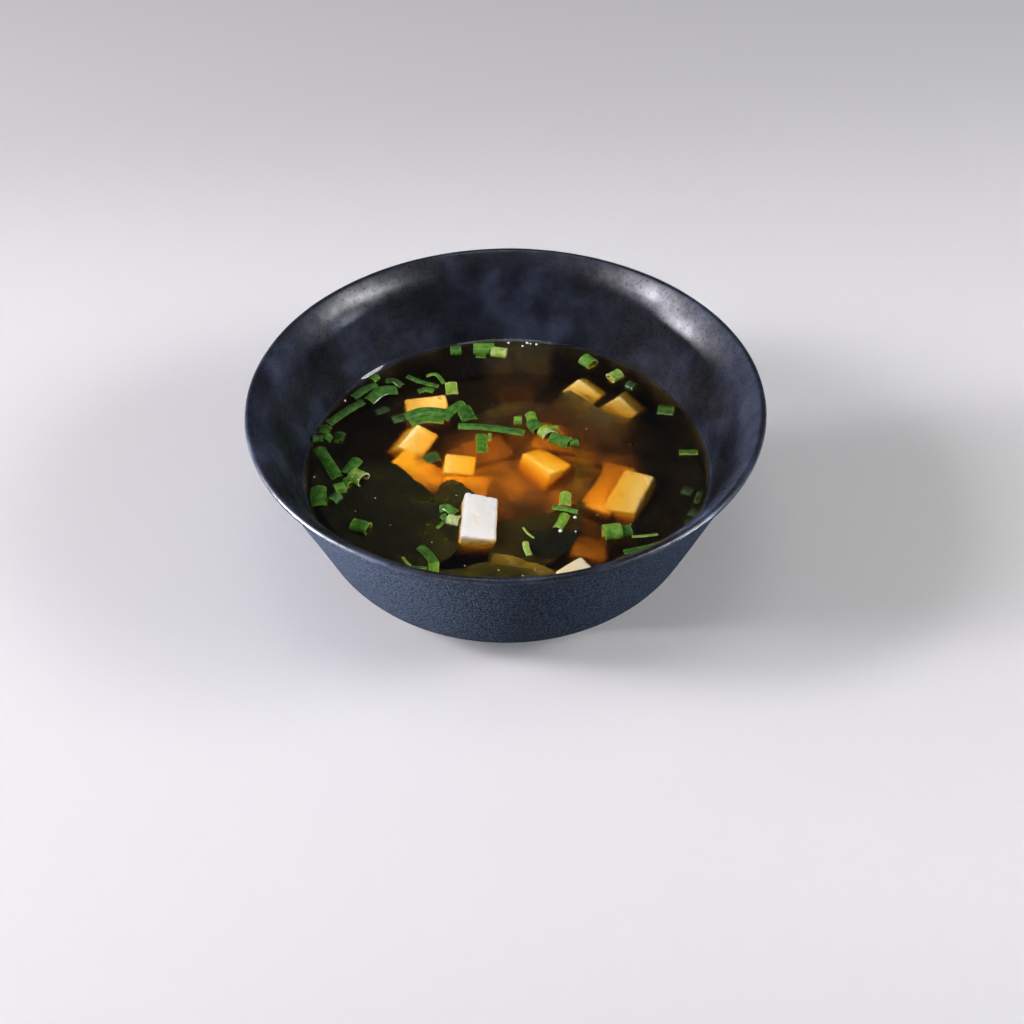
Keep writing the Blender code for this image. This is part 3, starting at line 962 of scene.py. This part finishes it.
onionRings = [           # both ends in mm (x, y, lift), width, flattening, paleness
    ([(-17.6, 55.0, 0.4), (-14.2, 55.2, 0.4)], 3.6, 0.8, 0.34),
    ([(-10.2, 55.6, 0.7), (-3.6, 55.6, 0.7)], 4.8, 0.7, 0.46),
    ([(-4.4, 54.2, 0.6), (0.2, 53.2, 0.6)], 4.2, 0.75, 0.76),
    ([(-42.2, 40.2, 0.5), (-40.6, 42.2, 0.5)], 2.8, 0.7, 0.44),
    ([(-58.6, 12.6, 0.3), (-55.6, 12.8, 0.3)], 2.8, 0.8, 0.28),
    ([(-55.0, 11.6, 0.4), (-54.0, 13.8, 0.4)], 3.4, 0.8, 0.36),
    ([(-50.6, 15.6, -0.4), (-50.8, 11.8, -0.4)], 3.2, 0.7, 0.20),
    ([(-45.6, -4.0, 0.6), (-42.2, -6.6, 1.0)], 5.4, 0.75, 0.66),
    ([(-47.9, -6.6, 0.4), (-46.0, -8.4, 0.5)], 3.2, 0.8, 0.36),
    ([(-50.6, -10.6, 0.6), (-47.6, -9.4, 0.7)], 4.2, 0.7, 0.48),
    ([(-51.2, -15.6, 0.5), (-49.3, -13.0, 0.5)], 3.6, 0.7, 0.36),
    ([(-44.4, -25.4, 0.6), (-39.6, -27.4, 0.7)], 4.6, 0.75, 0.42),
    ([(2.4, 20.0, 0.4), (4.8, 20.0, 0.4)], 3.2, 0.8, 0.52),
    ([(7.6, 22.6, 0.6), (8.0, 19.0, 0.7)], 3.2, 0.8, 0.56),
    ([(8.0, 18.8, 0.6), (9.8, 14.8, 0.8)], 4.2, 0.8, 0.34),
    ([(11.2, 15.2, 0.8), (13.0, 12.4, 1.0)], 4.4, 0.8, 0.70),
    ([(13.6, 11.6, 0.8), (19.0, 9.0, 0.7)], 4.2, 0.75, 0.38),
    ([(19.0, 9.0, 0.5), (21.6, 9.4, 0.3)], 3.0, 0.7, 0.36),
    ([(25.0, 50.0, 0.6), (27.6, 46.8, 0.7)], 4.6, 0.75, 0.48),
    ([(32.8, 39.8, 0.5), (36.0, 42.2, 0.6)], 4.2, 0.7, 0.66),
    ([(38.2, 37.6, -0.3), (40.4, 35.8, -0.3)], 3.8, 0.8, 0.16),
    ([(27.6, -30.4, 0.8), (32.6, -29.6, 0.8)], 5.6, 0.75, 0.52),
    ([(32.6, -29.8, 0.4), (35.4, -29.2, 0.3)], 4.6, 0.7, 0.34),
    ([(-17.0, -23.6, 0.5), (-13.6, -25.0, 0.8)], 3.6, 0.75, 0.88),
]


def onionFinish():
    # cut spring onion leaf: ribbed, waxy and wet, paler inside
    made, tree, shader = newMaterial("wetSpringOnion")
    place = addNode(tree, "TexCoord").outputs["Object"]
    pale = addNode(tree, "Attribute", attribute_name="pale").outputs["Fac"]
    across = addNode(tree, "Attribute", attribute_name="across").outputs["Fac"]
    mottled = addNode(tree, "TexNoise", links={"Vector": place},
                      values={"Scale": 1 / (1.6 * mm), "Detail": 3.0})
    shift = addNode(tree, "MapRange", links={"Value": mottled.outputs["Fac"]},
                    values={"From Min": 0.3, "From Max": 0.7, "To Min": -0.12, "To Max": 0.12})
    ribs = addNode(tree, "Math", operation="SINE", links={
        0: addNode(tree, "Math", operation="MULTIPLY", links={0: across}, values={1: 14.0}).outputs[0]})
    ribShift = addNode(tree, "Math", operation="MULTIPLY_ADD",
                       links={0: ribs.outputs[0], 2: shift.outputs["Result"]}, values={1: 0.05})
    amount = addNode(tree, "Math", operation="ADD", links={0: pale, 1: ribShift.outputs[0]})
    green = rampNode(tree, amount.outputs[0], [
        (0.05, "#16260C"), (0.26, "#2D5819"), (0.42, "#4A8224"),
        (0.58, "#76A432"), (0.76, "#A2BE4A"), (1.0, "#E6EEC4")])
    tree.links.new(paintedDepthShade(tree, green.outputs["Color"]), shader.inputs["Base Color"])
    bump = addNode(tree, "Bump", values={"Distance": 0.12 * mm, "Strength": 0.5},
                   links={"Height": ribs.outputs[0]})
    tree.links.new(bump.outputs["Normal"], shader.inputs["Normal"])
    setSockets(shader, Roughness=0.5, Specular_IOR_Level=0.25, Coat_Weight=0.55, Coat_Roughness=0.12,
               Subsurface_Weight=0.12, Subsurface_Scale=0.6 * mm)
    return made


def onionBit(path, width, curl, flat, pale, seed):
    # a piece of hollow leaf: a strip of its wall, or the whole tube when curl is a full turn
    arc = math.radians(curl)
    radius = width / 2 if curl >= 180 else width / (2 * math.sin(arc / 2))
    drop = radius * math.cos(arc / 2) if curl < 180 else 0.0
    length = sum((Vector(end) - Vector(start)).length for start, end in zip(path, path[1:]))
    slant = wobble((seed, 0.5, 0), 1.0) * 0.5

    def place(across, along):
        cut = (across - 0.5) * slant * width / length * (2 * along - 1)
        share = min(1.0, max(0.0, along + cut * 0.5))
        centre = alongPoints(path, share)
        forward = alongPoints(path, min(1, share + 0.02)) - alongPoints(path, max(0, share - 0.02))
        forward.normalize()
        side = forward.cross(Vector((0, 0, 1))).normalized()
        up = side.cross(forward)
        angle = (across - 0.5) * arc
        bulge = 1 + 0.10 * wobble((along * 3, across * 3, seed), 1.0)
        spot = centre + side * radius * math.sin(angle) * bulge
        spot += up * (radius * math.cos(angle) - drop) * flat * bulge
        if curl >= 180:
            spot.z -= 0.25 * radius * flat
        else:
            spot.z -= (radius - drop) * flat * 0.6
        return Vector((spot.x * mm, spot.y * mm, brothTop + spot.z * mm))

    rows = max(6, round(length / onionShape["faceSize"]))
    columns = max(8, round(radius * arc / onionShape["faceSize"]))
    sheet = makeSheet("onionBit", columns, rows, place)
    tones = []
    for vertex in sheet.data.vertices:
        row, column = divmod(vertex.index, columns + 1)
        toCut = min(row, rows - row) / rows * length
        if curl < 360:
            toCut = min(toCut, min(column, columns - column) / columns * radius * arc)
        tones.append(pale + onionShape["paleRim"] * smoothStep(0.5, 0.0, toCut))
    pointValues(sheet, "pale", tones)
    pointValues(sheet, "across", [(vertex.index % (columns + 1)) / columns * radius * arc
                                  for vertex in sheet.data.vertices])
    if curl >= 360:
        onWholeMesh(sheet, mergeDoubles)
    count = len(sheet.data.vertices)
    wall = onionShape["tubeWall"] if curl >= 180 else onionShape["stripWall"]
    addModifier(sheet, "SOLIDIFY", thickness=wall * mm, offset=-1.0)
    applyAll(sheet)
    tones = [item.value for item in sheet.data.attributes["pale"].data]
    inner = onionShape["paleInside"]
    pointValues(sheet, "pale", [tone + (inner if index >= count else 0) for index, tone in enumerate(tones)])
    return sheet


def makeOnions():
    finish = onionFinish()
    strips = [onionBit(path, width, curl, 1.0, pale, index * 1.7)
              for index, (path, width, curl, pale) in enumerate(onionStrips)]
    rings = [onionBit(path, width, 360, flat, pale, 90 + index * 1.7)
             for index, (path, width, flat, pale) in enumerate(onionRings)]
    for name, bits in (("onionStrips", strips), ("onionRings", rings)):
        joined = joinAll(name, bits)
        smoothAll(joined, 50)
        finishPiece(joined, finish, "broth")
    print("spring onion cut:", len(strips), "strips and", len(rings), "rings")


# bubbles

# the smallest of these are white flecks that stand for glints on the wet surface: partly foam, partly painted
# highlights
bubbles = [              # x, y and radius in mm
    (1, 59.0, 0.42), (5.5, 57.2, 0.36), (7, 58.8, 0.48), (8.1, 58.4, 0.30), (10, 58.0, 0.42),
    (19.6, -23.4, 0.50), (15.2, -29.0, 0.55), (19.6, -29.3, 0.28), (-50.0, 30.8, 0.38), (6.3, 22.6, 0.45),
    (-47.4, 34.2, 0.20), (-38.5, -14.0, 0.20), (-33.6, -25.5, 0.14), (-12.0, -42.6, 0.16), (24.5, 16.0, 0.15),
    (-44.0, -19.5, 0.15), (35.5, -26.5, 0.16), (-14.8, -13.3, 0.16), (-33.0, 38.0, 0.16), (1.5, 6.0, 0.14),
    (-1.0, -3.0, 0.12), (26.0, -22.5, 0.14), (-57.0, -4.5, 0.24), (-2.5, -44.5, 0.18), (4.2, -46.8, 0.20),
    (7.8, -44.6, 0.16), (0.8, -41.6, 0.16), (-8.4, -47.2, 0.15), (11.4, -48.0, 0.16), (-21.5, -33.0, 0.15),
]


def bubbleFinish():
    # a water film over air, painted white: partly the foam's own scatter, partly a painted highlight
    made, tree, shader = newMaterial("foamFilmWithPaintedHighlight")
    setSockets(shader, Base_Color=(*linearColour("#F4F6F4"), 1), Roughness=0.08, IOR=1.33, Coat_Weight=1.0)
    return made


def makeBubbles():
    domes = []
    for x, y, radius in bubbles:
        deselectAll()
        place = (x * mm, y * mm, brothTop + 0.2 * radius * mm)
        bpy.ops.mesh.primitive_uv_sphere_add(segments=16, ring_count=10, radius=radius * mm, location=place)
        dome = bpy.context.object
        dome.scale.z = 0.8
        applyAll(dome)
        domes.append(dome)
    foam = joinAll("bubbles", domes)
    smoothAll(foam, 80)
    finishPiece(foam, bubbleFinish(), "broth")
    print("bubbles:", len(domes))


addCamera()
addLamps()
addFloor()
makeBowl()
standingTofu = makeTofu()
makeCloud()
makeWakame()
makeOnions()
makeBubbles()
makeBroth([die for die in standingTofu if die.name.split("_curd")[0] not in tofuLook["sink"]])
